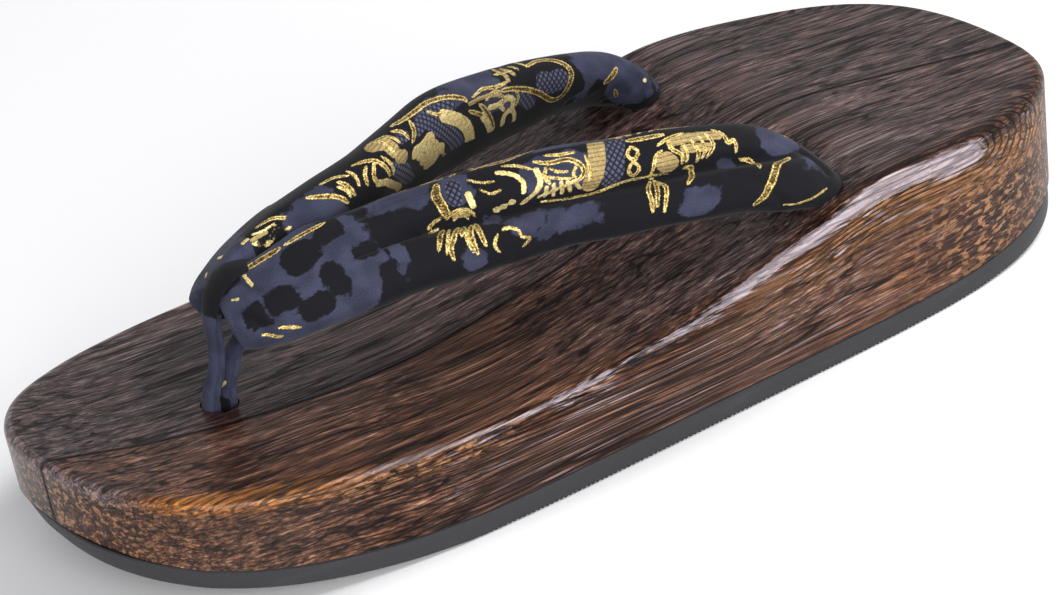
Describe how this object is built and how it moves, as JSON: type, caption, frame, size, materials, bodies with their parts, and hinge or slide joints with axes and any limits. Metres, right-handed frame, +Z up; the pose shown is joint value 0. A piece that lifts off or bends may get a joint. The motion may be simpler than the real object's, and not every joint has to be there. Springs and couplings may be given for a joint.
{
  "type": "geta sandal",
  "caption": "Low boat-shaped geta: a scorched wooden base glued from planks on a rubber outsole, with padded brocade straps and a toe thong",
  "frame": {"origin": "on the floor under the middle of the base", "axes": "toe towards -Y, heel towards +Y, +Z up, +X towards the side with the narrow plank"},
  "size_m": [0.11, 0.27, 0.067],
  "materials": {
    "scorched_wood": "brushed, lacquered",
    "scorched_wood_light": "brushed, lacquered",
    "sole_rubber": "matt",
    "strap_brocade": "woven brocade",
    "thong_cloth": "woven"
  },
  "bodies": {
    "root": {"plank_wide": "scorched_wood", "plank_narrow": "scorched_wood_light", "outsole": "sole_rubber", "straps": "strap_brocade", "toe_thong": "thong_cloth"}
  },
  "joints": []
}
